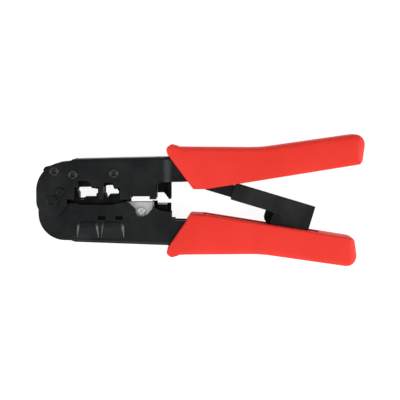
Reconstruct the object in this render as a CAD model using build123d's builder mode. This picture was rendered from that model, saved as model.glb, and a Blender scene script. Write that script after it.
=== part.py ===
"""Modular-plug crimping tool with a ratchet arm, lying on its side, drawn in millimetres.

The origin is under the middle of the tool's outline, on the surface that the grips rest on. The
pieces are drawn on the tool's middle plane, from the nose pivot: x runs from the pivot towards the
handles, y from the lower arm towards the upper one, and z from the back plates to the front ones.
The tool stands open, as its spring leaves it.
"""

import os
from math import cos, radians, sin

from build123d import *

os.makedirs("parts", exist_ok=True)

# ---- driving dimensions -------------------------------------------------------------------------
SHEET = 2.0  # steel of both arms
HEAD_HALF = 10.0  # outer face of the upper arm's head plates
SHANK_HALF = 7.8  # outer face of the lower arm, and of both arms inside the grips
GRIP_HALF = 11.5  # outer face of the grips
CLOSING = 7.0  # degrees that the lower arm turns from open to closed

HEAD_INSIDE = HEAD_HALF - SHEET
SHANK_INSIDE = SHANK_HALF - SHEET
BLOCK_HALF = SHANK_INSIDE - 0.2  # the die block runs between the lower arm's plates

PIN_R = 3.0  # nose pivot pin
ARM_PIN_R = 2.0  # both pins of the ratchet arm
RUNNING = 0.05  # radial clearance of a turning fit

JAW_END = 72.8  # vertical edge where the jaws end and the necks begin
WEB_START = 13.2  # the folded web begins behind the rounded nose
GRIP_REACH = {"upper": 0.0, "lower": -4.4}  # the lower grip is the shorter one

# nest of each plug size, seen from the front: left, right, floor and shoulder of the plug body
NEST_8P = {"left": 15.5, "right": 27.9, "floor": 2.4, "shoulder": 7.4}
NEST_6P = {"left": 31.2, "right": 40.6, "floor": 4.0, "shoulder": 7.4}
DIES = {
    "contact_die_8p": {"left": 19.7, "right": 26.8, "top": 2.4, "contacts": 8},
    "contact_die_6p": {"left": 34.2, "right": 40.4, "top": 4.0, "contacts": 6},
}
CONTACT_PITCH = 1.02
DIE_TRAVEL = 1.2
DIE_HALF = 5.0  # half length of a die along Z
TOOTH_HEIGHT = 0.8
FOOT_TOP = -2.8  # the die's foot hangs below the block
FOOT_BOTTOM = -4.0
BLOCK_FLOOR = -1.5

# ratchet arm
BAR_PIVOT = (86.0, 16.0)  # on the upper arm
HOUSING_PIVOT = (148.5, -22.1)  # on the lower arm
ARM_SLOPE = 16.7  # degrees below the X axis
BAR_MIDDLE = -2.9  # the bar's middle line, across the arm from its pivot
BAR_HALF = 2.5  # half of the bar's thickness along Z
HOUSING_SHEET = 1.2
HOUSING_INSIDE = BAR_HALF + 0.2
HOUSING_HALF = HOUSING_INSIDE + HOUSING_SHEET

# nose pivot, seen from the origin, and the tool's middle plane
PIVOT = (-90.364, -0.321)
TOOL = Plane(origin=(*PIVOT, GRIP_HALF))
THROUGH = 12.0  # holes are cut this far to both sides of the middle plane


def local(edge):
    """Middle of an edge, seen from the nose pivot."""
    return TOOL.to_local_coords(edge.center())


def across(x, y=0.0, z=0.0):
    """The plane across the tool at x, looking towards the handles."""
    return Plane(origin=TOOL.from_local_coords((x, y, z)), x_dir=(0, 1, 0), z_dir=(1, 0, 0))


def prism(points, low, high, plane=TOOL, mode=Mode.ADD):
    """A straight-sided solid between two heights."""
    with BuildSketch(plane.offset(low)) as face:
        with BuildLine():
            Polyline(*points, close=True)
        make_face()
    return extrude(face.sketch, amount=high - low, mode=mode)


def rod(centre, radius, low, high, plane=TOOL, mode=Mode.ADD):
    """A cylinder between two heights."""
    with BuildSketch(plane.offset(low)) as face:
        with Locations(centre):
            Circle(radius)
    return extrude(face.sketch, amount=high - low, mode=mode)


def hole(centre, radius, low=-THROUGH, high=THROUGH, plane=TOOL):
    """Cuts a round hole, right through unless its ends are given."""
    return rod(centre, radius, low, high, plane, mode=Mode.SUBTRACT)


def flip(points, side):
    """The same outline on the upper arm (side 1) or mirrored to the lower arm (side -1)."""
    return [(x, side * y) for x, y in points]


# ---- the shank: the folded channel that each grip covers ----------------------------------------
SHANK_WEB = [(66.0, 26.9), (129.0, 29.6), (184.0, 37.2)]  # outer face of the web
SHANK_LIPS = [(184.0, 25.2), (129.0, 16.6), (95.0, 12.2), (74.5, 11.7)]  # edges of the flanges
JOGGLE = (66.0, 74.5)  # where the upper arm narrows from head to shank
JOGGLE_STEPS = 12
BEND_R = 2.0
EDGE_R = 0.35  # of the plates' outer edges


def shank_outline(side, reach):
    """Side view of the shank, cut short by reach."""
    ends = [(x + reach if x > 180 else x, y) for x, y in SHANK_WEB + SHANK_LIPS]
    return flip([(JOGGLE[1], 11.7), (JOGGLE[1], 27.2)] + ends[1:-1], side)


def shank_solid(side, reach):
    """The shank's outer shape, with rounded bends along its web."""
    with BuildPart() as shank:
        prism(shank_outline(side, reach), -SHANK_HALF, SHANK_HALF)
        web = [e for e in shank.edges().filter_by(lambda e: abs(local(e).Z) > SHANK_INSIDE)
               if side * local(e).Y > 27.0 and e.bounding_box().size.X > 20]
        fillet(web, BEND_R)
    return shank.part


def shank_hollow(side, reach):
    """The space between the shank's flanges, open along its inner side and at its end."""
    web = [(x, y - SHEET) for x, y in SHANK_WEB[1:]]
    lips = [(200.0, 10.0), (95.0, 0.0), (JOGGLE[1], 0.0)]
    return prism(flip([(JOGGLE[1], 25.2), web[0], (200.0, web[1][1] + 2.2)] + lips, side),
                 -SHANK_INSIDE, SHANK_INSIDE, mode=Mode.PRIVATE)


def section(x, low, high, half, bend=0.0):
    """A cross-section of the joggle, with its two bends along the web rounded."""
    with BuildSketch(across(x)) as face:
        with Locations(((low + high) / 2, 0)):
            Rectangle(high - low, 2 * half)
        if bend:
            fillet(face.vertices().group_by(Axis.X)[-1], bend)
    return face.sketch


def joggle(low, web_head, web_shank, head_half, shank_half, bend=0.0):
    """A smooth S-bend from the wide head to the narrow shank, as a row of short straight steps."""
    sections = []
    for step in range(JOGGLE_STEPS + 1):
        along = step / JOGGLE_STEPS
        ease = (1 - cos(radians(180 * along))) / 2
        sections.append(section(JOGGLE[0] + (JOGGLE[1] - JOGGLE[0]) * along,
                                low, web_head + (web_shank - web_head) * ease,
                                head_half + (shank_half - head_half) * ease, bend))
    return loft(sections, ruled=True, mode=Mode.PRIVATE)


def joggle_solid():
    """The joggle's outer shape, starting a hair inside the head so that their bends meet cleanly."""
    return joggle(11.7, 26.88, 27.15, HEAD_HALF - 0.02, SHANK_HALF, BEND_R)


def joggle_hollow():
    """The space inside the joggle."""
    return joggle(5.0, 24.9, 25.2, HEAD_INSIDE, SHANK_INSIDE)


# ---- upper arm ----------------------------------------------------------------------------------
EAR_R = 9.2  # the upper arm's round ear about the pivot
NOSE_R = 17.6
JAW_EDGE = 1.3  # lower edge of the upper head plates
NOSE_RIVET = (1.9, 18.4)
DIE_RIVETS = [(13.2, 16.4), (38.0, 17.1)]
HOOK_RIVETS = [(66.0, 21.5), (66.0, 15.0)]
HOOK_RIVET_R = 1.25
ANCHOR_PIN = (5.3, 5.8)
ANCHOR_R = 1.3
RIVET_R = 2.0
RIVET_HEAD_R = 2.75
RIVET_DIMPLE_R = 1.45
DIMPLE_DEPTH = 1.6
RIM_HEIGHT = 0.5
HEAD_DEPTH = 0.8  # of a countersunk rivet head
COIN_DEPTH = 0.4
PIVOT_HEAD = 1.1
PIVOT_DIMPLE_R = 1.7

with BuildPart() as upper_frame:
    with BuildSketch(TOOL.offset(-HEAD_HALF)):
        with BuildLine():
            ear_start = (9.1, JAW_EDGE)
            Polyline(ear_start, (48.3, JAW_EDGE), (48.3, 3.1), (59.5, 3.1), (59.5, JAW_EDGE),
                     (63.75, JAW_EDGE), (63.75, 11.0), (66.0, 11.0), (66.0, 26.9),
                     (WEB_START, 25.7), (11.4, 24.4), (8.0, 24.0))
            RadiusArc((8.0, 24.0), (-EAR_R, 7.4), -NOSE_R)
            Line((-EAR_R, 7.4), (-EAR_R, 0))
            ThreePointArc((-EAR_R, 0), (0, -EAR_R), ear_start)
        make_face()
    extrude(amount=2 * HEAD_HALF)
    web_bends = [e for e in upper_frame.edges().filter_by(lambda e: abs(local(e).Z) > HEAD_HALF - 0.1)
                 if local(e).Y > 26 and e.bounding_box().size.X > 40]
    fillet(web_bends, BEND_R)
    rims = [e for e in upper_frame.edges() if abs(local(e).Z) > HEAD_HALF - 0.01
            and local(e).Y < 26 and local(e).X < 62]
    fillet(rims, EDGE_R)
    add(joggle_solid())
    add(shank_solid(1, GRIP_REACH["upper"]))
    # hollow of the head, of the joggle and of the shank
    prism([(-20, -20), (66.0, -20), (66.0, 24.9), (15.2, 23.7), (WEB_START, 40), (-20, 40)],
          -HEAD_INSIDE, HEAD_INSIDE, mode=Mode.SUBTRACT)
    add(joggle_hollow(), mode=Mode.SUBTRACT)
    add(shank_hollow(1, GRIP_REACH["upper"]), mode=Mode.SUBTRACT)
    # plug windows with their latch notches, open to the jaw gap
    prism([(13.9, -1), (13.9, 8.7), (16.3, 8.7), (16.3, 12.5), (21.9, 12.5), (24.2, 10.2),
           (24.6, 8.7), (28.8, 8.7), (28.8, -1)], -THROUGH, THROUGH, mode=Mode.SUBTRACT)
    prism([(31.7, -1), (31.7, 10.9), (32.4, 11.5), (37.2, 11.5), (38.4, 8.5), (41.7, 8.5),
           (41.7, -1)], -THROUGH, THROUGH, mode=Mode.SUBTRACT)
    # shallow stamped panel round the windows, on both sides
    for face_z in (HEAD_HALF - 0.25, -HEAD_HALF - 1):
        prism([(14.8, 1), (14.8, 21.4), (16.2, 22.4), (43.2, 22.4), (44.4, 21.4), (44.4, 1)],
              face_z, face_z + 1.25, mode=Mode.SUBTRACT)
    # coined rings round the first die rivet and the spring's anchor, on both sides
    for centre, radius, depth in ((DIE_RIVETS[0], 4.3, 0.15), (ANCHOR_PIN, 3.5, COIN_DEPTH)):
        hole(centre, radius, low=HEAD_HALF - depth)
        hole(centre, radius, high=depth - HEAD_HALF)
    # holes: pivot, spring anchor, rivets with countersinks
    hole((0, 0), PIN_R)
    hole(ANCHOR_PIN, ANCHOR_R)
    for centre in [NOSE_RIVET] + DIE_RIVETS:
        hole(centre, RIVET_R)
        hole(centre, RIVET_HEAD_R, low=HEAD_HALF - HEAD_DEPTH)
        hole(centre, RIVET_HEAD_R, high=HEAD_DEPTH - HEAD_HALF)
    # hole of the ratchet bar's pin, through both flanges
    hole(BAR_PIVOT, ARM_PIN_R)
    # rivet holes of the stripping hook, in the back plate
    for centre in HOOK_RIVETS:
        hole(centre, HOOK_RIVET_R, high=0)
upper_frame.part.label = "upper_frame"
export_step(upper_frame.part, "parts/upper_frame.step")


def rivet(centre):
    """A tubular rivet through both head plates, its ends rolled over into rims."""
    rod(centre, RIVET_R, -HEAD_HALF, HEAD_HALF)
    for side in (-1, 1):
        rim = side * (HEAD_HALF + RIM_HEIGHT)
        rod(centre, RIVET_HEAD_R, *sorted((rim, side * (HEAD_HALF - HEAD_DEPTH))))
        hole(centre, RIVET_DIMPLE_R, *sorted((rim, rim - side * DIMPLE_DEPTH)))


def roll_rims(piece):
    """Rounds both edges of every rivet rim in a piece."""
    rims = piece.edges().filter_by(lambda e: abs(local(e).Z) > HEAD_HALF + RIM_HEIGHT - 0.01)
    fillet(rims, RIM_HEIGHT * 0.9)


with BuildPart() as nose_rivet:
    rivet(NOSE_RIVET)
    roll_rims(nose_rivet)
nose_rivet.part.label = "nose_rivet"
export_step(nose_rivet.part, "parts/nose_rivet.step")

with BuildPart() as die_rivets:
    for centre in DIE_RIVETS:
        rivet(centre)
    roll_rims(die_rivets)
die_rivets.part.label = "die_rivets"
export_step(die_rivets.part, "parts/die_rivets.step")

with BuildPart() as pivot_pin:
    rod((0, 0), PIN_R, -HEAD_HALF, HEAD_HALF)
    for low in (HEAD_HALF, -HEAD_HALF - PIVOT_HEAD):
        rod((0, 0), 3.6, low, low + PIVOT_HEAD)
    rims = pivot_pin.edges().filter_by(GeomType.CIRCLE).filter_by(
        lambda e: abs(local(e).Z) > HEAD_HALF + 1)
    fillet(rims, 0.5)
    for side in (-1, 1):
        top = side * (HEAD_HALF + PIVOT_HEAD)
        hole((0, 0), PIVOT_DIMPLE_R, *sorted((top, top - side * 0.8)))
    lips = pivot_pin.edges().filter_by(GeomType.CIRCLE).filter_by(
        lambda e: abs(local(e).Z) > HEAD_HALF + 1 and e.radius < PIVOT_DIMPLE_R + 0.1)
    chamfer(lips, 0.45)
pivot_pin.part.label = "pivot_pin"
export_step(pivot_pin.part, "parts/pivot_pin.step")

with BuildPart() as spring_anchor_pin:
    rod(ANCHOR_PIN, ANCHOR_R, -HEAD_HALF, HEAD_HALF)
    for side in (-1, 1):
        seat, top = side * (HEAD_HALF - COIN_DEPTH), side * (HEAD_HALF + 0.6)
        rod(ANCHOR_PIN, 2.6, *sorted((seat, top)))
    fillet(spring_anchor_pin.edges().filter_by(lambda e: abs(local(e).Z) > HEAD_HALF + 0.5), 0.5)
spring_anchor_pin.part.label = "spring_anchor_pin"
export_step(spring_anchor_pin.part, "parts/spring_anchor_pin.step")

with BuildPart() as nose_spacer:
    with BuildSketch(TOOL.offset(-HEAD_INSIDE)):
        with Locations((1.6, 17.0)):
            RectangleRounded(13.0, 8.5, 2.5)
    extrude(amount=2 * HEAD_INSIDE)
    hole(NOSE_RIVET, RIVET_R)
nose_spacer.part.label = "nose_spacer"
export_step(nose_spacer.part, "parts/nose_spacer.step")

# ---- die block with both plug nests, the moving dies and the cutting anvil -----------------------
ANVIL = [(46.0, 5.9), (60.5, 7.65), (60.5, 11.0), (46.0, 11.0)]

with BuildPart() as die_block:
    prism([(11.0, BLOCK_FLOOR), (43.0, BLOCK_FLOOR), (43.0, 5.6), (62.0, 7.9), (62.0, 22.0),
           (11.0, 22.0)], -BLOCK_HALF, BLOCK_HALF)
    # nests: plug body, latch channel, and the relief beside the die
    n = NEST_8P
    prism([(16.3, n["floor"]), (16.3, 0.8), (19.2, 0.8), (19.7, n["floor"]),
           (26.9, n["floor"]), (27.0, 4.6), (n["right"], 4.8), (n["right"], n["shoulder"]),
           (24.3, 7.9), (23.7, 8.7), (16.6, 8.6), (n["left"], n["shoulder"]),
           (n["left"], 5.9), (16.3, 5.0)], -THROUGH, THROUGH, mode=Mode.SUBTRACT)
    n = NEST_6P
    prism([(33.2, 2.0), (35.4, 2.0), (35.7, n["floor"]), (39.6, n["floor"]),
           (n["right"], 4.9), (n["right"], 6.2), (39.6, n["shoulder"]),
           (37.9, n["shoulder"]), (36.9, 9.8), (33.2, 9.6), (31.8, 8.3),
           (n["left"], 6.8), (n["left"], 5.7), (32.6, 4.4)], -THROUGH, THROUGH, mode=Mode.SUBTRACT)
    # guide slots of the dies
    for die in DIES.values():
        prism([(die["left"] - RUNNING, -5), (die["right"] + RUNNING, -5),
               (die["right"] + RUNNING, die["top"] + DIE_TRAVEL + 0.1),
               (die["left"] - RUNNING, die["top"] + DIE_TRAVEL + 0.1)],
              -DIE_HALF - RUNNING, DIE_HALF + RUNNING, mode=Mode.SUBTRACT)
    prism(ANVIL, -4.6, 5.6, mode=Mode.SUBTRACT)
    for centre in DIE_RIVETS:
        hole(centre, RIVET_R)
die_block.part.label = "die_block"
export_step(die_block.part, "parts/die_block.step")

with BuildPart() as cutting_anvil:
    prism(ANVIL, -4.6, BLOCK_HALF)
cutting_anvil.part.label = "cutting_anvil"
export_step(cutting_anvil.part, "parts/cutting_anvil.step")

with BuildPart() as die_spacers:
    for low in (BLOCK_HALF, -HEAD_INSIDE):
        prism([(11.0, 13.2), (43.0, 13.2), (43.0, 22.0), (11.0, 22.0)],
              low, low + HEAD_INSIDE - BLOCK_HALF)
    for centre in DIE_RIVETS:
        hole(centre, RIVET_R)
die_spacers.part.label = "die_spacers"
export_step(die_spacers.part, "parts/die_spacers.step")

for name, die in DIES.items():
    left, right, top = die["left"], die["right"], die["top"]
    middle = (left + right) / 2
    with BuildPart() as contact_die:
        prism([(left, FOOT_BOTTOM), (right, FOOT_BOTTOM), (right, top - TOOTH_HEIGHT),
               (left, top - TOOTH_HEIGHT)], -DIE_HALF, DIE_HALF)
        prism([(left - 1.0, FOOT_BOTTOM), (right + 1.0, FOOT_BOTTOM),
               (right + 1.0, FOOT_TOP), (left - 1.0, FOOT_TOP)], -DIE_HALF, DIE_HALF)
        # one blade per contact, near the front
        for number in range(die["contacts"]):
            x = middle + (number - (die["contacts"] - 1) / 2) * CONTACT_PITCH * 0.85
            prism([(x - 0.25, top - TOOTH_HEIGHT), (x + 0.25, top - TOOTH_HEIGHT),
                   (x + 0.25, top), (x - 0.25, top)], 1.0, 4.4)
        # ridge that presses the cable clamp, near the back
        prism([(left + 0.6, top - TOOTH_HEIGHT), (right - 0.6, top - TOOTH_HEIGHT),
               (right - 0.6, top), (left + 0.6, top)], -4.2, -2.6)
    contact_die.part.label = name
    export_step(contact_die.part, f"parts/{name}.step")

# ---- stripping hook, on the upper arm -----------------------------------------------------------
with BuildPart() as strip_hook:
    prism([(62.1, 12.4), (69.0, 12.4), (69.0, 24.0), (62.1, 24.0)], -HEAD_INSIDE + 0.9, 2.0)
    prism([(64.2, 12.4), (64.2, 5.0), (68.0, 5.1), (70.7, 1.7), (71.3, 1.2), (72.2, 1.2),
           (72.7, 1.7), (72.7, 12.4)], -2.0, 2.0)
    prism([(70.7, 1.7), (71.3, 1.2), (72.2, 1.2), (72.7, 1.7), (72.7, 11.5), (70.7, 11.5)],
          2.0, 5.0)
    for centre in HOOK_RIVETS:
        hole(centre, HOOK_RIVET_R, high=0)
strip_hook.part.label = "strip_hook"
export_step(strip_hook.part, "parts/strip_hook.step")

with BuildPart() as hook_rivets:
    for centre in HOOK_RIVETS:
        rod(centre, HOOK_RIVET_R, -HEAD_HALF, 0)
hook_rivets.part.label = "hook_rivets"
export_step(hook_rivets.part, "parts/hook_rivets.step")

# ---- torsion spring round the pivot -------------------------------------------------------------
COIL_R = 4.9
WIRE_R = 0.5
COIL_PITCH = 1.08
LEG_ANGLE = 19.5  # where each leg leaves the coil
LEG_LENGTH = 9.0
COIL_TURNS = 5 - 2 * LEG_ANGLE / 360
COIL_HEIGHT = COIL_PITCH * COIL_TURNS

coil_base = TOOL.offset(-COIL_HEIGHT / 2).rotated((0, 0, LEG_ANGLE))
coil = Edge.make_helix(COIL_PITCH, COIL_HEIGHT, COIL_R).moved(coil_base.location)

with BuildPart() as opening_spring:
    with BuildSketch(Plane(origin=coil @ 0, z_dir=coil % 0)) as wire:
        Circle(WIRE_R)
    sweep(wire.sketch, path=coil, is_frenet=True)
    for start, outwards in ((coil @ 0, -(coil % 0)), (coil @ 1, coil % 1)):
        with BuildSketch(Plane(origin=start, z_dir=outwards)):
            Circle(WIRE_R)
        extrude(amount=LEG_LENGTH)
opening_spring.part.label = "opening_spring"
export_step(opening_spring.part, "parts/opening_spring.step")

# ---- lower arm ----------------------------------------------------------------------------------
LOWER_EAR_R = 5.8
LEG_PIN = (ANCHOR_PIN[0], -ANCHOR_PIN[1])  # the spring's lower leg bears on it
BACK_EDGE = 1.4  # upper edge of the back plate in front of the cutter
SCREW = (54.2, -6.1)
SCREW_ROOM_R = 3.4
CARRIER_RIVETS = [(50.0, -16.5), (66.0, -16.5)]
CARRIER_RIVET_R = 1.5
SLOTS = [(27.9, 32.7), (38.5, 43.1)]  # staked tabs of the driver, left and right edges
SLOT_TOP, SLOT_BOTTOM = -8.9, -11.3
BULGES = [(15.2, 28.4), (29.8, 43.9)]  # pressed-out pads, left and right edges
BULGE_TOP, BULGE_BOTTOM = -11.8, -22.4
BULGE_HEIGHT = 1.3
BULGE_R = 4.2  # of the pads' upper corners
BULGE_SIDE = 1.5  # how far the pads' sides slope inwards


def pad_outline(left, right, side, height, inset):
    """A pad's outline at a height over the plate, its upper corners rounded, on either side."""
    face = TOOL.offset(side * (SHANK_HALF + height))
    top = BULGE_TOP - inset
    with BuildSketch(face) as outline:
        with Locations(((left + right) / 2, (top + BULGE_BOTTOM) / 2)):
            Rectangle(right - left - 2 * inset, top - BULGE_BOTTOM)
        fillet(outline.vertices().group_by(Axis.Y)[-1], BULGE_R - inset)
    return outline.sketch


with BuildPart() as lower_frame:
    with BuildSketch(TOOL.offset(-SHANK_HALF)):
        with BuildLine():
            Polyline((LOWER_EAR_R, 0), (LOWER_EAR_R, -1.2), (16.0, -1.2), (16.6, -2.0),
                     (36.6, -2.0), (41.0, -1.0), (44.5, -0.3), (61.5, -0.3), (61.9, -3.6),
                     (66.2, -5.6), (JAW_END, -6.8), (JAW_END, -10.8), (75.0, -10.8),
                     (75.0, -27.2), (14.2, -25.0), (11.6, -23.9), (8.0, -23.8))
            RadiusArc((8.0, -23.8), (-8.2, -7.6), 16.2)
            Line((-8.2, -7.6), (-8.2, -3.4))
            Line((-8.2, -3.4), (-LOWER_EAR_R, 0))
            ThreePointArc((-LOWER_EAR_R, 0), (0, LOWER_EAR_R), (LOWER_EAR_R, 0))
        make_face()
    extrude(amount=2 * SHANK_HALF)
    lower_bends = [e for e in lower_frame.edges().filter_by(lambda e: abs(local(e).Z) > SHANK_HALF - 0.1)
                   if local(e).Y < -25 and e.bounding_box().size.X > 40]
    fillet(lower_bends, BEND_R)
    rims = [e for e in lower_frame.edges() if abs(local(e).Z) > SHANK_HALF - 0.01
            and local(e).Y > -25 and local(e).X < 71]
    fillet(rims, EDGE_R)
    add(shank_solid(-1, GRIP_REACH["lower"]))
    prism([(-20, 20), (76.0, 20), (76.0, -25.2), (16.2, -22.7), (14.2, -40), (-20, -40)],
          -SHANK_INSIDE, SHANK_INSIDE, mode=Mode.SUBTRACT)
    add(shank_hollow(-1, GRIP_REACH["lower"]), mode=Mode.SUBTRACT)
    # the back plate stands higher than the front one, up to the plug nests
    prism([(4.0, -3.0), (47.6, -3.0), (47.6, BACK_EDGE), (4.0, BACK_EDGE)],
          -SHANK_HALF, -SHANK_INSIDE)
    # room behind the cutting blade, in the back plate
    prism([(47.6, -1.6), (60.8, -1.6), (60.8, 1), (47.6, 1)], -THROUGH, 0, mode=Mode.SUBTRACT)
    # notch that shows the cutting blade and its screw
    prism([(45.8, 1), (45.8, 0), (51.6, -5.6), (57.6, -8.6), (61.2, -4.4), (61.3, 1)],
          0, THROUGH, mode=Mode.SUBTRACT)
    hole(SCREW, SCREW_ROOM_R, low=0)
    # pressed-out pads with slanted sides: proud at the top, running out into the plate below
    for left, right in BULGES:
        for side in (-1, 1):
            foot = pad_outline(left, right, side, 0.0, 0.0)
            crest = pad_outline(left, right, side, BULGE_HEIGHT, BULGE_SIDE)
            pad = loft([foot, crest], ruled=True, mode=Mode.PRIVATE)
            run_out = prism([(BULGE_TOP - 4.0, side * (SHANK_HALF + BULGE_HEIGHT)),
                             (BULGE_BOTTOM, side * (SHANK_HALF + 0.1)),
                             (BULGE_BOTTOM - 1, side * THROUGH),
                             (BULGE_TOP - 4.0, side * THROUGH)],
                            left - 1, right + 1, across(0), mode=Mode.PRIVATE)
            add(pad - run_out)
    # slots that take the driver's staked tabs
    for left, right in SLOTS:
        prism([(left, SLOT_BOTTOM), (right, SLOT_BOTTOM), (right, SLOT_TOP),
               (left, SLOT_TOP)], -THROUGH, THROUGH, mode=Mode.SUBTRACT)
    # holes: pivot, spring leg's pin and the ratchet housing's pin
    hole((0, 0), PIN_R + RUNNING)
    hole(LEG_PIN, ANCHOR_R)
    hole(HOUSING_PIVOT, ARM_PIN_R)
    # rivet holes of the blade carrier, in the back plate
    for centre in CARRIER_RIVETS:
        hole(centre, CARRIER_RIVET_R, high=0)
lower_frame.part.label = "lower_frame"
export_step(lower_frame.part, "parts/lower_frame.step")

with BuildPart() as pivot_bush:
    rod((0, 0), 4.1, -SHANK_INSIDE, SHANK_INSIDE)
    hole((0, 0), PIN_R + RUNNING)
pivot_bush.part.label = "pivot_bush"
export_step(pivot_bush.part, "parts/pivot_bush.step")

with BuildPart() as spring_leg_pin:
    rod(LEG_PIN, ANCHOR_R, -SHANK_HALF, SHANK_HALF)
spring_leg_pin.part.label = "spring_leg_pin"
export_step(spring_leg_pin.part, "parts/spring_leg_pin.step")

# ---- driver: the lower arm's block that lifts both dies -----------------------------------------
RIDGE_R = 3.0
TAB_DEPTH = 1.8  # how deep the staked tabs stay below the plates


def ridge_centre(die):
    """Centre of the rounded ridge that meets the die's foot when the arm is fully closed."""
    x = (die["left"] + die["right"]) / 2
    closed_y = FOOT_BOTTOM + DIE_TRAVEL - 0.08 - RIDGE_R
    return x, (closed_y - x * sin(radians(CLOSING))) / cos(radians(CLOSING))


with BuildPart() as die_driver:
    prism([(15.0, -22.0), (43.4, -22.0), (43.4, -8.6), (15.0, -8.6)],
          -SHANK_INSIDE, SHANK_INSIDE)
    for die in DIES.values():
        x, y = ridge_centre(die)
        rod((x, y), RIDGE_R, -SHANK_INSIDE, SHANK_INSIDE)
    for left, right in SLOTS:
        prism([(left, SLOT_BOTTOM), (right, SLOT_BOTTOM), (right, SLOT_TOP),
               (left, SLOT_TOP)], -SHANK_HALF + TAB_DEPTH, SHANK_HALF - TAB_DEPTH)
die_driver.part.label = "die_driver"
export_step(die_driver.part, "parts/die_driver.step")

# ---- blade carrier, cutting blade and stripping blade -------------------------------------------
BLADE_BACK, BLADE_FRONT = 3.4, 4.6
STRIP_BACK, STRIP_FRONT = 2.3, 3.3
SCREW_R = 1.25

with BuildPart() as blade_carrier:
    prism([(44.6, -2.9), (62.2, -2.9), (62.2, -8.6), (72.4, -8.6), (72.4, -20.0),
           (44.6, -20.0)], -SHANK_INSIDE, STRIP_BACK)
    prism([(44.6, -2.9), (62.2, -2.9), (62.2, -20.0), (44.6, -20.0)],
          STRIP_BACK, BLADE_BACK)
    prism([(44.6, -11.0), (62.2, -11.0), (62.2, -20.0), (44.6, -20.0)],
          BLADE_BACK, SHANK_INSIDE)
    # stop behind the stripping blade
    prism([(60.8, -8.6), (72.4, -8.6), (72.4, -1.7), (64.0, -1.7), (64.0, -0.4), (60.8, -0.4)],
          -SHANK_INSIDE, -2.3)
    hole(SCREW, SCREW_R)
    for centre in CARRIER_RIVETS:
        hole(centre, CARRIER_RIVET_R, high=0)
blade_carrier.part.label = "blade_carrier"
export_step(blade_carrier.part, "parts/blade_carrier.step")

with BuildPart() as carrier_rivets:
    for centre in CARRIER_RIVETS:
        rod(centre, CARRIER_RIVET_R, -SHANK_HALF, 0)
carrier_rivets.part.label = "carrier_rivets"
export_step(carrier_rivets.part, "parts/carrier_rivets.step")

with BuildPart() as cutting_blade:
    prism([(45.0, -0.2), (62.0, -0.2), (62.0, -4.8), (58.0, -9.9), (50.8, -9.9),
           (45.0, -4.6)], BLADE_BACK, BLADE_FRONT)
    edge = cutting_blade.edges().filter_by(Axis.X).group_by(Axis.Y)[-1].sort_by(Axis.Z)[-1]
    chamfer(edge, length=0.4, length2=0.6)
    hole(SCREW, SCREW_R)
cutting_blade.part.label = "cutting_blade"
export_step(cutting_blade.part, "parts/cutting_blade.step")

with BuildPart() as blade_screw:
    rod(SCREW, SCREW_R, -SHANK_INSIDE, BLADE_FRONT)
    rod(SCREW, 2.3, BLADE_FRONT, BLADE_FRONT + 1.5)
    fillet(blade_screw.edges().filter_by(GeomType.CIRCLE).sort_by(Axis.Z)[-1], 0.6)
    for turn in (30, 120):
        cross = Plane(origin=TOOL.from_local_coords((*SCREW, BLADE_FRONT + 0.8)))
        prism([(-1.4, -0.3), (1.4, -0.3), (1.4, 0.3), (-1.4, 0.3)], 0, 2,
              cross.rotated((0, 0, turn)), mode=Mode.SUBTRACT)
blade_screw.part.label = "blade_screw"
export_step(blade_screw.part, "parts/blade_screw.step")

with BuildPart() as strip_blade:
    prism([(64.3, -1.2), (70.2, -1.2), (70.2, -12.0), (64.3, -12.0)],
          STRIP_BACK, STRIP_FRONT)
    edge = strip_blade.edges().filter_by(Axis.X).group_by(Axis.Y)[-1].sort_by(Axis.Z)[-1]
    chamfer(edge, length=0.5, length2=0.8)
strip_blade.part.label = "strip_blade"
export_step(strip_blade.part, "parts/strip_blade.step")

# ---- grips --------------------------------------------------------------------------------------
NUB = (72.8, 31.6)
NUB_R = 2.8
SLOT_HALF = SHANK_INSIDE  # half width of the slot along each grip's inner side
SLOT_END = 163.0


for side, reach, slot_start in ((1, 0.0, 70.0), (-1, GRIP_REACH["lower"], 92.0)):
    end_top = (192.0 + reach, 42.0 + 0.145 * reach)
    end_low = (187.7 + reach, (22.5 if side > 0 else 22.8) + 0.157 * reach)
    lip = 7.4 if side > 0 else 7.9
    with BuildPart() as grip:
        with BuildSketch(TOOL.offset(-GRIP_HALF)) as profile:
            with BuildLine():
                Polyline(*flip([(85.3, lip - 0.1), (93.8, lip), end_low, end_top, (127.0, 32.6),
                                (73.6, 33.0), (70.5, 28.4)], side), close=True)
            make_face()
            for corner, radius in ((end_top, 7.2), (end_low, 2.8), ((127.0, 32.6), 90.0),
                                   ((85.3, lip - 0.1), 1.2)):
                spot = (corner[0], side * corner[1])
                fillet(profile.vertices().sort_by_distance(spot)[0], radius)
            with Locations((NUB[0], side * NUB[1])):
                Circle(NUB_R)
        extrude(amount=2 * GRIP_HALF)
        # the sleeve fits its shank, and at its front the neck of its arm
        add(shank_solid(side, reach), mode=Mode.SUBTRACT)
        if side > 0:
            add(joggle_solid(), mode=Mode.SUBTRACT)
        else:
            prism([(60, -10.8), (75.0, -10.8), (75.0, -27.12), (60, -26.5)],
                  -SHANK_HALF, SHANK_HALF, mode=Mode.SUBTRACT)
        # slot along the inner side, for the ratchet arm
        prism(flip([(slot_start, 0), (SLOT_END, 0), (SLOT_END, 24), (slot_start, 24)], side),
              -SLOT_HALF, SLOT_HALF, mode=Mode.SUBTRACT)
        # behind the slot the sleeve fills its shank
        behind = prism(flip([(SLOT_END, 0), (200, 0), (200, 50), (SLOT_END, 50)], side),
                       -THROUGH, THROUGH, mode=Mode.PRIVATE)
        add(shank_solid(side, reach) & shank_hollow(side, reach) & behind)
    name = "upper_grip" if side > 0 else "lower_grip"
    grip.part.label = name
    export_step(grip.part, f"parts/{name}.step")

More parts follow.
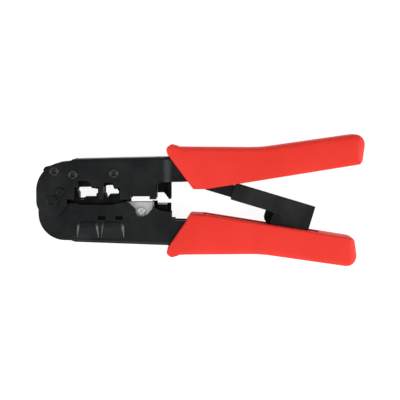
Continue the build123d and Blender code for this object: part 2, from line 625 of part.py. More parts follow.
# ---- ratchet arm, drawn along its own slope from the bar's pivot ---------------------------------
arm = Plane(origin=TOOL.from_local_coords((*BAR_PIVOT, 0))).rotated((0, 0, -ARM_SLOPE))
housing_eye = arm.to_local_coords(TOOL.from_local_coords(Vector(*HOUSING_PIVOT, 0)))
HOUSING_EYE = (housing_eye.X, housing_eye.Y)
BAR_HEIGHT = 7.6
BAR_TOP = BAR_MIDDLE + BAR_HEIGHT / 2
BAR_FOOT = BAR_MIDDLE - BAR_HEIGHT / 2
BAR_END = 69.0
TOOTH_PITCH = 1.6
TOOTH_DEPTH = 0.9
RACK = (46.0, 68.0)  # toothed stretch of the bar's lower edge
HOUSING_TOP, HOUSING_FOOT = 2.5, -7.95
HOUSING_START, HOUSING_END = 26.3, 77.2
PAWL_PIN = (56.1, -11.2)
KNOB = (53.3, -11.4)
KNOB_R = 4.3
KNOB_GAP = 0.9  # between the knob and the bar
PAWL_SPRING = (58.95, -10.2)  # where the pawl spring bears on the pawl
SPRING_SEAT = 62.55
PAWL_PIN_R = 1.5
OPEN_PIVOT_PLAY = 0.5  # radial play of the pin that closes the linkage
SIDE_PLAY = 0.1  # between the ratchet arm and the rings beside it

with BuildPart() as ratchet_bar:
    prism([(-2.5, 4.2), (3.5, 4.2), (14.0, BAR_TOP), (BAR_END, BAR_TOP), (BAR_END, BAR_FOOT),
           (10.0, BAR_FOOT), (-3.6, -2.4)], -BAR_HALF, BAR_HALF, arm)
    rod((0, 0), 4.6, -BAR_HALF, BAR_HALF, arm)
    teeth = int((RACK[1] - RACK[0]) / TOOTH_PITCH)
    for number in range(teeth):
        s = RACK[0] + number * TOOTH_PITCH
        prism([(s, BAR_FOOT - 0.5), (s + TOOTH_PITCH * 0.8, BAR_FOOT - 0.5),
               (s + TOOTH_PITCH * 0.8, BAR_FOOT), (s, BAR_FOOT + TOOTH_DEPTH)],
              -THROUGH, THROUGH, arm, mode=Mode.SUBTRACT)
    hole((0, 0), ARM_PIN_R + RUNNING, plane=arm)
ratchet_bar.part.label = "ratchet_bar"
export_step(ratchet_bar.part, "parts/ratchet_bar.step")

with BuildPart() as bar_pin:
    rod(BAR_PIVOT, ARM_PIN_R, -SHANK_HALF, SHANK_HALF)
bar_pin.part.label = "bar_pin"
export_step(bar_pin.part, "parts/bar_pin.step")

with BuildPart() as bar_spacers:
    for low in (BAR_HALF + SIDE_PLAY, -SHANK_INSIDE):
        rod(BAR_PIVOT, 3.6, low, low + SHANK_INSIDE - BAR_HALF - SIDE_PLAY)
    hole(BAR_PIVOT, ARM_PIN_R)
bar_spacers.part.label = "bar_spacers"
export_step(bar_spacers.part, "parts/bar_spacers.step")

BOOT = [(HOUSING_START, HOUSING_FOOT), (HOUSING_START, HOUSING_TOP - 1.2),
        (HOUSING_START + 1.2, HOUSING_TOP), (HOUSING_END, HOUSING_TOP), (HOUSING_END, -20.0),
        (HOUSING_EYE[0] + 3.2, HOUSING_EYE[1] - 4.6), (HOUSING_EYE[0] - 3.4, HOUSING_EYE[1] - 4.6),
        (60.0, -20.0), (54.4, -16.0), (53.0, -13.6), (54.6, -11.4), (54.4, -9.0),
        (52.6, HOUSING_FOOT)]

with BuildPart() as ratchet_housing:
    prism(BOOT, -HOUSING_HALF, HOUSING_HALF, arm)
    folds = [e for e in ratchet_housing.edges().filter_by(lambda e: abs(local(e).Z) > HOUSING_HALF - 0.1)
             if e.length > 45 and arm.to_local_coords(e.center()).Y > 0]
    fillet(folds, 1.0)
    # the sheet is folded along its top and far end; it is open below and towards the bar
    prism([(0, -60), (HOUSING_END - HOUSING_SHEET, -60),
           (HOUSING_END - HOUSING_SHEET, HOUSING_TOP - HOUSING_SHEET),
           (0, HOUSING_TOP - HOUSING_SHEET)],
          -HOUSING_INSIDE, HOUSING_INSIDE, arm, mode=Mode.SUBTRACT)
    # tab between the side plates, behind the pawl's spring
    prism([(SPRING_SEAT, -12.4), (SPRING_SEAT + HOUSING_SHEET, -12.4),
           (SPRING_SEAT + HOUSING_SHEET, -8.0), (SPRING_SEAT, -8.0)],
          -HOUSING_HALF, HOUSING_HALF, arm)
    hole(PAWL_PIN, PAWL_PIN_R, plane=arm)
    hole(HOUSING_EYE, ARM_PIN_R + OPEN_PIVOT_PLAY, plane=arm)
ratchet_housing.part.label = "ratchet_housing"
export_step(ratchet_housing.part, "parts/ratchet_housing.step")

with BuildPart() as pawl_pin:
    rod(PAWL_PIN, PAWL_PIN_R, -HOUSING_HALF, HOUSING_HALF, arm)
    for low in (HOUSING_HALF, -HOUSING_HALF - 0.7):
        rod(PAWL_PIN, 2.7, low, low + 0.7, arm)
pawl_pin.part.label = "pawl_pin"
export_step(pawl_pin.part, "parts/pawl_pin.step")

with BuildPart() as pawl:
    prism([(54.5, -11.5), (57.8, -12.4), (58.6, -8.4), (57.6, BAR_FOOT - 0.25),
           (56.7, BAR_FOOT - 0.9), (55.0, -8.8)], -BAR_HALF, BAR_HALF, arm)
    rod(PAWL_PIN, 2.5, -BAR_HALF, BAR_HALF, arm)
    # thumb knob: round below, square towards the bar, and clear of it when the pawl is released
    knob_left, knob_top = KNOB[0] - KNOB_R, BAR_FOOT - KNOB_GAP
    rod(KNOB, KNOB_R, -BAR_HALF, BAR_HALF, arm)
    prism([(knob_left, KNOB[1]), (PAWL_PIN[0], KNOB[1]), (PAWL_PIN[0] - 1.5, knob_top),
           (knob_left + 0.9, knob_top), (knob_left, knob_top - 0.9)], -BAR_HALF, BAR_HALF, arm)
    prism([(knob_left, knob_top), (PAWL_PIN[0] - 1.5, knob_top), (PAWL_PIN[0] - 1.5, 0),
           (knob_left, 0)], -THROUGH, THROUGH, arm, mode=Mode.SUBTRACT)
    hole(PAWL_PIN, PAWL_PIN_R + RUNNING, plane=arm)
pawl.part.label = "pawl"
export_step(pawl.part, "parts/pawl.step")

# small coil spring that holds the pawl up against the rack
spring_base = Plane(origin=arm.from_local_coords((PAWL_SPRING[0], PAWL_SPRING[1], 0)),
                    x_dir=(0, 0, 1), z_dir=arm.x_dir)
turns = Edge.make_helix(0.95, 3.3, 1.3).moved(spring_base.location)

with BuildPart() as pawl_spring:
    with BuildSketch(Plane(origin=turns @ 0, z_dir=turns % 0)) as wire:
        Circle(0.25)
    sweep(wire.sketch, path=turns, is_frenet=True)
pawl_spring.part.label = "pawl_spring"
export_step(pawl_spring.part, "parts/pawl_spring.step")

with BuildPart() as housing_pin:
    rod(HOUSING_PIVOT, ARM_PIN_R, -SHANK_HALF, SHANK_HALF)
housing_pin.part.label = "housing_pin"
export_step(housing_pin.part, "parts/housing_pin.step")

with BuildPart() as housing_washers:
    for low in (HOUSING_HALF + SIDE_PLAY, -SHANK_INSIDE):
        rod(HOUSING_PIVOT, 4.0, low, low + SHANK_INSIDE - HOUSING_HALF - SIDE_PLAY)
    hole(HOUSING_PIVOT, ARM_PIN_R)
housing_washers.part.label = "housing_washers"
export_step(housing_washers.part, "parts/housing_washers.step")
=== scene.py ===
"""Looks of the modular-plug crimping tool: soft red grips, black oxide steel and bright blades.

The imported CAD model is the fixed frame, in metres. The tool lies on its side: X runs from the nose
pivot to the handles' ends, Y from the lower arm to the upper one and Z up through its thickness.
Where a size is in millimetres, it is measured from the middle of the nose pivot.
"""

import math

import bmesh
import bpy
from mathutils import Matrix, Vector
from mathutils.geometry import delaunay_2d_cdt


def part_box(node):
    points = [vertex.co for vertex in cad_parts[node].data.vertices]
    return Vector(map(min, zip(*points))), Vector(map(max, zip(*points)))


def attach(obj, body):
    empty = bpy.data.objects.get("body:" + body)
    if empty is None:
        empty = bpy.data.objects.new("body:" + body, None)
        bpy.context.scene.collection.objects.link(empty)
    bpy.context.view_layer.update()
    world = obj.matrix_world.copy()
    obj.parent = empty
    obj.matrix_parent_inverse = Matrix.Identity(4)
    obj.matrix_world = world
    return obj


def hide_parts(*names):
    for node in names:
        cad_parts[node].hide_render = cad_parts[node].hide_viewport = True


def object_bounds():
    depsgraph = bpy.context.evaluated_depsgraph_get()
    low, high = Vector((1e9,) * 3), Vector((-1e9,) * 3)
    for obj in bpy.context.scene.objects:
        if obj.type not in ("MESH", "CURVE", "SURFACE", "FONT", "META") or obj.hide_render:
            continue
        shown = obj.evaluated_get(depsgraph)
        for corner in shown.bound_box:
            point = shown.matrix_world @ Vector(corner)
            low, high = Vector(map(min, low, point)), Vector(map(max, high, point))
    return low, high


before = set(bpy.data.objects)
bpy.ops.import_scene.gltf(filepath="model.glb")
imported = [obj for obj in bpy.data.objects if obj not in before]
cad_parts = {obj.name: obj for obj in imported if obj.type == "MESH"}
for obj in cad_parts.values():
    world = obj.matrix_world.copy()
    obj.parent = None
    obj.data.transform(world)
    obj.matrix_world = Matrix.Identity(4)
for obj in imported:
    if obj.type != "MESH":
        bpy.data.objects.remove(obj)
CAD_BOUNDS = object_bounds()
MM = 0.001

pin_low, pin_high = (Vector(corner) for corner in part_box("pivot_pin"))
PIVOT = (pin_low + pin_high) / 2
grip_low, grip_high = (Vector(corner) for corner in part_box("upper_grip"))
GRIP_HALF = (grip_high.z - grip_low.z) / 2 / MM  # half the thickness of a grip, in millimetres


def from_pivot(x, y, z=0.0):
    """A place in the frame from millimetres measured from the middle of the pivot."""
    return PIVOT + Vector((x, y, z)) * MM


# ---- materials ----------------------------------------------------------------------------------
PADS_LOW = (13.0, -24.5)  # corners of the area of the lower arm's two pressed pads, whose side walls get a painted highlight
PADS_HIGH = (45.5, -12.2)
GROUND_EDGE = 1.0 * MM  # depth of the stripping blade's ground edge,
GROUND_FADE = 0.2 * MM  # and how soon it passes into the blued steel
OXIDE_TINT = (0.3, 0.3, 0.3, 1)  # holds down the glare of the black coat at grazing angles
RUBBED_TINT = (0.5, 0.5, 0.5, 1)
MIX_FIRST, MIX_SECOND, MIX_RESULT = 6, 7, 2  # a Mix node's colour sockets, whose names repeat


class Shader:
    """A node tree under construction: each call adds a node and links its inputs."""

    def __init__(self, name):
        self.material = bpy.data.materials.new(name)
        self.material.use_nodes = True
        self.tree = self.material.node_tree
        self.surface = self.tree.nodes["Principled BSDF"]
        self.place = self.add("ShaderNodeTexCoord").outputs["Object"]

    def add(self, kind, inputs=None, **settings):
        """Adds a node; inputs are numbers, colours or other nodes' outputs."""
        node = self.tree.nodes.new(kind)
        for key, value in settings.items():
            setattr(node, key, value)
        for key, value in (inputs or {}).items():
            self.feed(node.inputs[key], value)
        return node

    def feed(self, socket, value):
        """Links an output to a socket, or sets the socket's own value."""
        if isinstance(value, bpy.types.NodeSocket):
            self.tree.links.new(value, socket)
        else:
            socket.default_value = value

    def noise(self, scale, detail=4.0, roughness=0.55, place=None):
        """Noise from 0 to 1 with features about 1/scale metres wide."""
        inputs = {"Vector": place or self.place, "Scale": scale, "Detail": detail,
                  "Roughness": roughness}
        return self.add("ShaderNodeTexNoise", inputs).outputs["Fac"]

    def compute(self, operation, *values):
        """A Math node's result for one or two values."""
        return self.add("ShaderNodeMath", dict(enumerate(values)),
                        operation=operation).outputs["Value"]

    def parts(self, vector):
        """The X, Y and Z outputs of a vector, by name."""
        return self.add("ShaderNodeSeparateXYZ", {"Vector": vector}).outputs

    def surface_normal(self):
        """The normal of the mesh, without bumps."""
        return self.add("ShaderNodeNewGeometry").outputs["Normal"]

    def ramp(self, value, low, high, out_low=0.0, out_high=1.0):
        """Maps low..high to out_low..out_high, smoothly and clamped."""
        node = self.add("ShaderNodeMapRange", {"Value": value, "From Min": low, "From Max": high,
                                               "To Min": out_low, "To Max": out_high})
        node.interpolation_type = "SMOOTHSTEP"
        return node.outputs["Result"]

    def mix(self, factor, first, second):
        """Mixes two colours."""
        node = self.add("ShaderNodeMix", data_type="RGBA")
        self.feed(node.inputs["Factor"], factor)
        self.feed(node.inputs[MIX_FIRST], first)
        self.feed(node.inputs[MIX_SECOND], second)
        return node.outputs[MIX_RESULT]

    def bump(self, height, distance, strength):
        """A normal for bumps as high as the given distance in metres."""
        inputs = {"Height": height, "Distance": distance, "Strength": strength}
        return self.add("ShaderNodeBump", inputs).outputs["Normal"]

    def edge_wear_and_highlight(self, radius, low, high):
        """1 on sharp edges and 0 on flats, from how far a rounded normal turns."""
        soft = self.add("ShaderNodeBevel", {"Radius": radius}, samples=4).outputs["Normal"]
        turned = self.add("ShaderNodeVectorMath", {0: soft, 1: self.surface_normal()},
                          operation="DOT_PRODUCT")
        return self.ramp(turned.outputs["Value"], high, low)

    def set(self, **values):
        """Sets or links the surface's sockets; underscores stand for spaces."""
        for key, value in values.items():
            self.feed(self.surface.inputs[key.replace("_", " ")], value)
        return self.material


def painted_pad_wall_highlight(s):
    """Painted highlight: 1 on the side walls of the lower arm's pressed pads."""
    lean = s.compute("ABSOLUTE", s.parts(s.surface_normal())["X"])
    factor = s.ramp(lean, 0.35, 0.6)
    place = s.parts(s.place)
    low, high = from_pivot(*PADS_LOW), from_pivot(*PADS_HIGH)
    for axis, least, most in (("X", low.x, high.x), ("Y", low.y, high.y)):
        half = (most - least) / 2
        away = s.compute("ABSOLUTE", s.compute("SUBTRACT", place[axis], (least + most) / 2))
        factor = s.compute("MULTIPLY", factor, s.ramp(away, half - MM, half, 1.0, 0.0))
    return factor


def black_steel(name, lift=1.0, pads=False):
    """Pressed sheet with a satin black oxide coat, lighter along its edges from wear and a painted
    highlight; with pads, a painted highlight on their side walls.
    """
    s = Shader(name)
    cloud = s.noise(55, 5, 0.6)
    grain = s.noise(2600, 3, 0.6)
    deep, pale = ([lift * part for part in tone] + [1]
                  for tone in ((0.017, 0.018, 0.019), (0.027, 0.0285, 0.029)))
    colour = s.mix(s.ramp(cloud, 0.3, 0.72), deep, pale)
    # edges lightened in patches: partly wear, partly a painted highlight where edges catch the light
    worn_and_highlit = s.compute("MULTIPLY", s.edge_wear_and_highlight(0.35 * MM, 0.80, 0.985),
                     s.ramp(s.noise(420, 3), 0.42, 0.62))
    colour = s.mix(worn_and_highlit, colour, (0.060, 0.060, 0.059, 1))
    if pads:
        # painted highlight on the side walls of the pads
        colour = s.mix(painted_pad_wall_highlight(s), colour, (0.068, 0.068, 0.067, 1))
    rough = s.ramp(cloud, 0.25, 0.75, 0.29, 0.40)
    return s.set(Base_Color=colour, Metallic=0.6, Roughness=rough, Specular_IOR_Level=0.3,
                 Specular_Tint=OXIDE_TINT, Normal=s.bump(grain, 0.012 * MM, 0.5))


def dark_steel():
    """Near-black steel of the dies, pins and spacers; its tone is partly painted shade, as these
    parts sit recessed.
    """
    s = Shader("dark_steel")
    cloud = s.noise(140, 4)
    # the near-black tones are partly painted shade for recessed parts
    colour = s.mix(s.ramp(cloud, 0.3, 0.7), (0.005, 0.0052, 0.0054, 1), (0.011, 0.0113, 0.0118, 1))
    grain = s.noise(3200, 2)
    return s.set(Base_Color=colour, Metallic=0.6, Roughness=s.ramp(cloud, 0.3, 0.7, 0.4, 0.55),
                 Specular_IOR_Level=0.2, Specular_Tint=OXIDE_TINT,
                 Normal=s.bump(grain, 0.008 * MM, 0.4))


def rubbed_steel():
    """Black oxide rubbed thin on rivets and pins, so that rims and dimples catch the light."""
    s = Shader("rubbed_steel")
    cloud = s.noise(900, 3)
    colour = s.mix(s.ramp(cloud, 0.3, 0.7), (0.050, 0.051, 0.052, 1), (0.075, 0.076, 0.076, 1))
    return s.set(Base_Color=colour, Metallic=0.9, Roughness=s.ramp(cloud, 0.3, 0.7, 0.30, 0.38),
                 Specular_Tint=RUBBED_TINT, Normal=s.bump(cloud, 0.01 * MM, 0.25))


def strip_steel():
    """A thin hardened blade: dark, with a bright ground edge along its top."""
    s = Shader("strip_steel")
    ground_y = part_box("strip_blade")[1][1] - GROUND_EDGE
    ground = s.ramp(s.parts(s.place)["Y"], ground_y, ground_y + GROUND_FADE)
    scratches = s.noise(5000, 2)
    colour = s.mix(ground, (0.012, 0.0124, 0.013, 1), (0.80, 0.80, 0.78, 1))
    return s.set(Base_Color=colour, Metallic=0.9, Roughness=s.ramp(scratches, 0.3, 0.7, 0.3, 0.42),
                 Specular_Tint=RUBBED_TINT, Normal=s.bump(scratches, 0.006 * MM, 0.5))


def blade_steel():
    """Ground blade steel, with fine parallel scratches along Y."""
    s = Shader("blade_steel")
    stretched = s.add("ShaderNodeMapping", {"Vector": s.place, "Scale": (1.0, 0.04, 1.0)})
    scratches = s.noise(9000, 2, 0.6, stretched.outputs["Vector"])
    tone = s.noise(260, 3)
    colour = s.mix(s.ramp(tone, 0.3, 0.7), (0.76, 0.76, 0.73, 1), (0.90, 0.90, 0.88, 1))
    rough = s.ramp(scratches, 0.3, 0.7, 0.24, 0.42)
    return s.set(Base_Color=colour, Metallic=0.75, Roughness=rough,
                 Normal=s.bump(scratches, 0.006 * MM, 0.6))


def red_vinyl():
    """Soft moulded vinyl: a fine even texture, slightly deeper in tone where it is handled."""
    s = Shader("red_vinyl")
    cloud = s.noise(32, 3)
    pores = s.noise(2400, 2, 0.5)
    colour = s.mix(s.ramp(cloud, 0.3, 0.7), (0.735, 0.029, 0.018, 1), (0.775, 0.036, 0.023, 1))
    return s.set(Base_Color=colour, Roughness=s.ramp(pores, 0.3, 0.7, 0.50, 0.60),
                 Subsurface_Weight=0.06, Subsurface_Scale=1.5 * MM, Specular_IOR_Level=0.22,
                 Normal=s.bump(pores, 0.02 * MM, 0.35))


def paper_white():
    """The pale studio floor, lit from within so that it stays even."""
    s = Shader("studio_floor")
    return s.set(Base_Color=(0.2, 0.2, 0.2, 1), Roughness=0.9, Specular_IOR_Level=0.0,
                 Emission_Color=(1, 1, 1, 1), Emission_Strength=0.92)


FINISHES = (
    (black_steel("black_steel"),
     ("upper_frame", "ratchet_bar", "pivot_pin", "spring_anchor_pin", "pawl_pin")),
    (black_steel("pressed_steel", pads=True), ("lower_frame",)),
    (black_steel("housing_steel", lift=1.4), ("ratchet_housing",)),
    (rubbed_steel(), ("nose_rivet", "die_rivets", "hook_rivets", "carrier_rivets",
                      "housing_pin", "bar_pin", "opening_spring", "pawl_spring")),
    (blade_steel(), ("cutting_blade", "blade_screw", "cutting_anvil")),
    (strip_steel(), ("strip_blade",)),
)
FINISH_OF = {name: finish for finish, names in FINISHES for name in names}
STEEL_DARK = dark_steel()  # all other pieces; their near-black tone is partly painted shade
VINYL = red_vinyl()

for name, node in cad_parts.items():
    for slot in node.material_slots:
        slot.material = FINISH_OF.get(name, STEEL_DARK)


# ---- soft grips ---------------------------------------------------------------------------------
ARC_STEPS = 8


def rounded(corners):
    """A closed outline through corners of x, y and radius, each replaced by an arc."""
    outline = []
    points = [Vector(corner[:2]) for corner in corners]
    for i, here in enumerate(points):
        radius = corners[i][2]
        before = (points[i - 1] - here).normalized()
        after = (points[(i + 1) % len(points)] - here).normalized()
        half = before.angle(after) / 2
        reach = radius / math.tan(half)
        centre = here + (before + after).normalized() * (radius / math.sin(half))
        first, last = here + before * reach - centre, here + after * reach - centre
        turn = first.angle_signed(last)
        for step in range(ARC_STEPS + 1):
            angle = -turn * step / ARC_STEPS
            cos, sin = math.cos(angle), math.sin(angle)
            outline.append(centre + Vector((first.x * cos - first.y * sin,
                                            first.x * sin + first.y * cos)))
    return outline


def resample(outline, spacing):
    """The same closed outline with points no further apart than spacing."""
    result = []
    for i, here in enumerate(outline):
        after = outline[(i + 1) % len(outline)]
        parts = max(1, math.ceil((after - here).length / spacing))
        result += [here.lerp(after, k / parts) for k in range(parts)]
    return result


def smooth(value, low, high):
    """Smooth step from 0 at low to 1 at high."""
    t = min(1.0, max(0.0, (value - low) / (high - low)))
    return t * t * (3 - 2 * t)


# Corners of each grip's outline and how far each is rounded: x, y, radius
GRIP_CORNERS = {
    1: [
        (86.0, 7.4, 1.2),  # inner end of the front edge
        (93.8, 7.5, 30.0),  # bend of the inner side
        (188.6, 22.7, 3.2),  # inner corner of the far end
        (191.2, 41.8, 6.3),  # outer corner of the far end
        (127.0, 32.6, 90.0),  # hollow for the palm
        (77.6, 33.0, 1.2),  # foot of the finger stop
        (76.2, 33.6, 0.8),
        (72.6, 34.6, 2.6),  # crest of the finger stop
        (69.4, 32.4, 2.4),
        (70.4, 28.5, 1.5),  # outer end of the front edge
    ],
    -1: [
        (70.4, -28.5, 1.5),
        (69.4, -32.05, 2.4),
        (72.6, -34.25, 2.6),
        (76.2, -33.25, 0.8),
        (77.6, -32.65, 1.2),
        (127.0, -32.25, 90.0),
        (186.8, -40.812, 6.3),
        (184.2, -22.5092, 3.2),
        (93.8, -8.0, 30.0),
        (84.7, -7.5, 1.2),
    ],
}
OUTLINE_STEP = 1.5  # longest stretch between two points of an outline
FRONT_EDGE = ((85.3, 7.3), (70.4, 28.5))  # its inner and outer end on the upper grip
COLLAR_WIDTH = 7.5  # the face slopes down over this width to the front edge,
COLLAR_DROP = 0.9  # and by this much
CROWN = 0.35  # how far the middle of each face stands out
CROWN_REACH = 4.0  # how soon it does so from the rim
EDGE_RADIUS = 1.5  # of the edges between a face and the sides,
OUTER_EXTRA = 1.9  # with this much more along the outer side, behind the finger stop,
END_EXTRA = 3.2  # or this much more round the far end
STOP_FADE = (74, 84)  # x where the finger stop's edge passes into the softer outer side
END_FADE = (150, 170)  # x where the far end's rounding may set in
EDGE_STEPS = 6
FACE_GRID = 2.2  # spacing of the points within a face,
RIM_MARGIN = 0.55 * FACE_GRID  # none of which lies closer to the rim
INSIDE_ONLY = 1  # asks the triangulation for just what the outline encloses
SHARP_ANGLE = math.radians(38)  # edges that turn further are shaded sharp


def edge_radius(point, normal, side):
    """How far a grip's edge is rounded at a place on its outline."""
    outwards = smooth(side * normal.y, -0.1, 0.8) * smooth(point.x, *STOP_FADE)
    endwards = smooth(normal.x, 0.3, 0.95) * smooth(point.x, *END_FADE)
    return EDGE_RADIUS + max(OUTER_EXTRA * outwards, END_EXTRA * endwards)


def face_height(point, side):
    """Height of a grip's face without its crown, which slopes down to the front edge."""
    inner, outer = (Vector((x, side * y)) for x, y in FRONT_EDGE)
    along = (outer - inner).normalized()
    away = Vector((along.y, -along.x)) * side
    distance = (point - inner).dot(away)
    return GRIP_HALF - CROWN + COLLAR_DROP * min(0.0, distance / COLLAR_WIDTH - 1)


def make_grip(name, side):
    """A sleeve with soft outer edges and a collar in front, cut to fit over its shank."""
    outline = resample(rounded(GRIP_CORNERS[side]), OUTLINE_STEP)
    count = len(outline)
    tangents = [outline[(i + 1) % count] - outline[i - 1] for i in range(count)]
    normals = [Vector((tangent.y, -tangent.x)).normalized() for tangent in tangents]
    mesh = bmesh.new()

    # one ring of points per step round each edge, from a face's rim to the sides
    edges = {-1: [], 1: []}
    for end, rings in edges.items():
        for step in range(EDGE_STEPS + 1):
            turn = math.pi / 2 * (step / EDGE_STEPS)
            ring = []
            for point, normal in zip(outline, normals):
                radius = edge_radius(point, normal, side)
                place = point - normal * (radius * (1 - math.sin(turn)))
                z = face_height(place, side) - radius * (1 - math.cos(turn))
                ring.append(mesh.verts.new((place.x, place.y, end * z)))
            rings.append(ring)

    around = edges[-1] + edges[1][::-1]
    for lower, upper in zip(around, around[1:]):
        for i in range(count):
            j = (i + 1) % count
            mesh.faces.new((lower[i], lower[j], upper[j], upper[i]))
    for end, rings in edges.items():
        cap(mesh, rings[0], end, side)
    bmesh.ops.recalc_face_normals(mesh, faces=mesh.faces)

    sleeve = finish_mesh(name, mesh, VINYL)
    for tool in (shank_tool(side), slot_tool(side)):
        cut(sleeve, tool)
    sleeve.data.set_sharp_from_angle(angle=SHARP_ANGLE)
    return sleeve


def cap(mesh, rim, end, side):
    """Closes a rim with an even, slightly crowned face."""
    border = [Vector((vert.co.x, vert.co.y)) for vert in rim]
    count = len(border)
    spots = [Vector((x, y)) for x in grid([point.x for point in border])
             for y in grid([point.y for point in border])]
    inner = [spot for spot in spots
             if inside(spot, border) and clearance(spot, border) > RIM_MARGIN]
    edges = [(i, (i + 1) % count) for i in range(count)]
    points, _, faces, origin, _, _ = delaunay_2d_cdt(border + inner, edges, [], INSIDE_ONLY, 1e-6)
    verts = []
    for point, sources in zip(points, origin):
        if sources and sources[0] < count:
            verts.append(rim[sources[0]])
            continue
        crown = CROWN * (1 - math.exp(-clearance(point, border) / CROWN_REACH))
        z = face_height(point, side) + crown
        verts.append(mesh.verts.new((point.x, point.y, end * z)))
    for face in faces:
        mesh.faces.new([verts[i] for i in face])


def grid(values):
    """The grid's lines over the range of the values."""
    low, high = min(values), max(values)
    return [low + FACE_GRID * i for i in range(math.ceil((high - low) / FACE_GRID))]


def inside(point, border):
    """True where a point lies inside a closed outline."""
    hit = False
    for i, here in enumerate(border):
        before = border[i - 1]
        if (here.y > point.y) != (before.y > point.y):
            rise = (point.y - here.y) / (before.y - here.y)
            if point.x < (before.x - here.x) * rise + here.x:
                hit = not hit
    return hit


def clearance(point, border):
    """Distance from a point to a closed outline."""
    distances = []
    for i, here in enumerate(border):
        run = border[i - 1] - here
        share = (point - here).dot(run) / max(run.length_squared, 1e-12)
        distances.append((point - here - run * max(0.0, min(1.0, share))).length)
    return min(distances)


def finish_mesh(name, mesh, material):
    """Turns millimetres from the pivot into an object in the frame, shaded smooth."""
    for vert in mesh.verts:
        vert.co = from_pivot(*vert.co)
    data = bpy.data.meshes.new(name)
    mesh.to_mesh(data)
    mesh.free()
    data.materials.append(material)
    for polygon in data.polygons:
        polygon.use_smooth = True
    piece = bpy.data.objects.new(name, data)
    bpy.context.collection.objects.link(piece)
    return piece


# Where each shank runs inside its sleeve: x, its open edge, its web and half its width. The open
# edge is the one that faces the ratchet arm.
SHANKS = {
    1: [(60.0, 5.0, 26.9, 10.0), (66.0, 5.0, 26.9, 10.0), (68.5, 5.0, 27.0, 9.6),
        (70.2, 5.0, 27.0, 8.95), (72.0, 5.0, 27.1, 8.2), (74.5, 11.7, 27.2, 7.8),
        (95.0, 12.2, 28.1, 7.8), (129.0, 16.6, 29.6, 7.8), (163.0, 21.9, 34.3, 7.8)],
    -1: [(60.0, 10.8, 26.7, 7.8), (74.9, 10.8, 27.2, 7.8), (75.1, 11.7, 27.2, 7.8),
         (95.0, 12.2, 28.1, 7.8), (129.0, 16.6, 29.6, 7.8), (163.0, 21.9, 34.3, 7.8)],
}
SLEEVE_GAP = 0.22  # between the steel and its sleeve
# The slot along each sleeve's inner side, where the ratchet arm goes in
SLOT_HALF = 5.8  # half its width
SLOT_START = {1: 60.0, -1: 92.0}
SLOT_END = 163.0
SLOT_REACH = (22.0, 24.0)  # how deep it goes at its start and its end, from the pivot's level


def loft(name, sections):
    """A closed mesh through rectangular sections: x, low, high and half width of each."""
    mesh = bmesh.new()
    rings = []
    for x, low, high, half in sections:
        corners = ((low, -half), (high, -half), (high, half), (low, half))
        rings.append([mesh.verts.new((x, y, z)) for y, z in corners])
    for first, second in zip(rings, rings[1:]):
        for i in range(4):
            mesh.faces.new((first[i], first[i - 1], second[i - 1], second[i]))
    mesh.faces.new(rings[0])
    mesh.faces.new(rings[-1][::-1])
    bmesh.ops.recalc_face_normals(mesh, faces=mesh.faces)
    return finish_mesh(name, mesh, VINYL)


def shank_tool(side):
    """The room for the shank inside a sleeve."""
    return loft("shank_tool", [(x, side * (edge - SLEEVE_GAP), side * (web + SLEEVE_GAP),
                                half + SLEEVE_GAP) for x, edge, web, half in SHANKS[side]])


def slot_tool(side):
    """The room for the ratchet arm inside a sleeve."""
    return loft("slot_tool", [(x, 0.0, side * reach, SLOT_HALF)
                              for x, reach in zip((SLOT_START[side], SLOT_END), SLOT_REACH)])


def cut(piece, tool):
    """Cuts a tool's shape out of a piece, and takes the tool away."""
    trim = piece.modifiers.new("cut", "BOOLEAN")
    trim.operation = "DIFFERENCE"
    trim.solver = "EXACT"
    trim.object = tool
    view_layer = bpy.context.view_layer
    view_layer.update()
    trimmed = bpy.data.meshes.new_from_object(piece.evaluated_get(view_layer.depsgraph))
    piece.modifiers.clear()
    piece.data = trimmed
    bpy.data.objects.remove(tool)


upper_skin = make_grip("upper_grip_skin", 1)
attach(upper_skin, "upper_arm")
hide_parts("upper_grip")

lower_skin = make_grip("lower_grip_skin", -1)
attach(lower_skin, "lower_arm")
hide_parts("lower_grip")

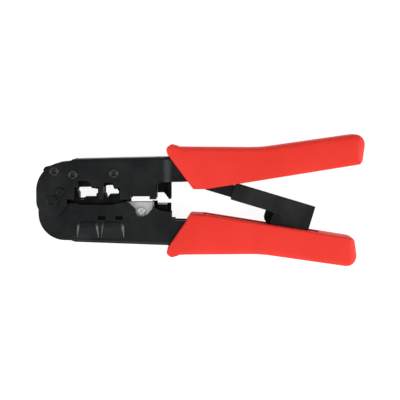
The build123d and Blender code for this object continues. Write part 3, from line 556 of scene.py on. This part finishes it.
# ---- studio -------------------------------------------------------------------------------------
FLOOR_HALF = 3.0
FLOOR_GAP = 0.2 * MM  # keeps the floor just clear of the tool's lowest faces
floor_mesh = bpy.data.meshes.new("floor")
floor_mesh.from_pydata([(-FLOOR_HALF, -FLOOR_HALF, 0), (FLOOR_HALF, -FLOOR_HALF, 0),
                        (FLOOR_HALF, FLOOR_HALF, 0), (-FLOOR_HALF, FLOOR_HALF, 0)],
                       [], [(0, 1, 2, 3)])
floor_mesh.materials.append(paper_white())
floor = bpy.data.objects.new("floor", floor_mesh)
floor.location = (0, 0, CAD_BOUNDS[0][2] - FLOOR_GAP)
bpy.context.collection.objects.link(floor)

# Square lamps: place, x of the spot on the floor that each is aimed at, size and power in watts
LAMPS = {
    "left_box": ((-0.90, -0.15, 0.75), -0.04, 0.6, 6.0),
    "right_box": ((0.90, -0.15, 0.75), 0.04, 0.6, 6.0),
    "low_left_box": ((-0.85, -0.05, 0.22), -0.04, 0.45, 2.0),
    "low_right_box": ((0.85, -0.05, 0.22), 0.04, 0.45, 2.4),
    "near_box": ((0.0, -0.90, 0.80), 0.0, 0.7, 4.0),
}
for name, (place, target_x, size, power) in LAMPS.items():
    lamp_data = bpy.data.lights.new(name, "AREA")
    lamp_data.size = size
    lamp_data.energy = power
    lamp = bpy.data.objects.new(name, lamp_data)
    lamp.location = place
    aim = Vector((target_x, 0, 0)) - Vector(place)
    lamp.rotation_euler = aim.to_track_quat("-Z", "Y").to_euler()
    bpy.context.collection.objects.link(lamp)

WORLD_STRENGTH = 0.35
world = bpy.data.worlds.new("studio")
world.use_nodes = True
sky = world.node_tree.nodes["Background"]
sky.inputs["Color"].default_value = (1, 1, 1, 1)
sky.inputs["Strength"].default_value = WORLD_STRENGTH
bpy.context.scene.world = world
bpy.context.scene.view_settings.view_transform = "Standard"

# ---- camera: above the tool, leaning towards +Y by a few degrees --------------------------------
DISTANCE = 0.70  # in metres, to the tool's middle plane
VIEW_WIDTH = 0.2458  # in metres, what the picture shows of that plane
LEAN = math.radians(4)
SENSOR = 36.0  # in millimetres
look_at = from_pivot(90.1, 0.25)
camera_data = bpy.data.cameras.new("camera")
camera_data.sensor_width = SENSOR
camera_data.lens = SENSOR * DISTANCE / VIEW_WIDTH
camera = bpy.data.objects.new("camera", camera_data)
camera.location = look_at + Vector((0, math.sin(LEAN), math.cos(LEAN))) * DISTANCE
camera.rotation_euler = (-LEAN, 0, 0)
bpy.context.collection.objects.link(camera)
bpy.context.scene.camera = camera
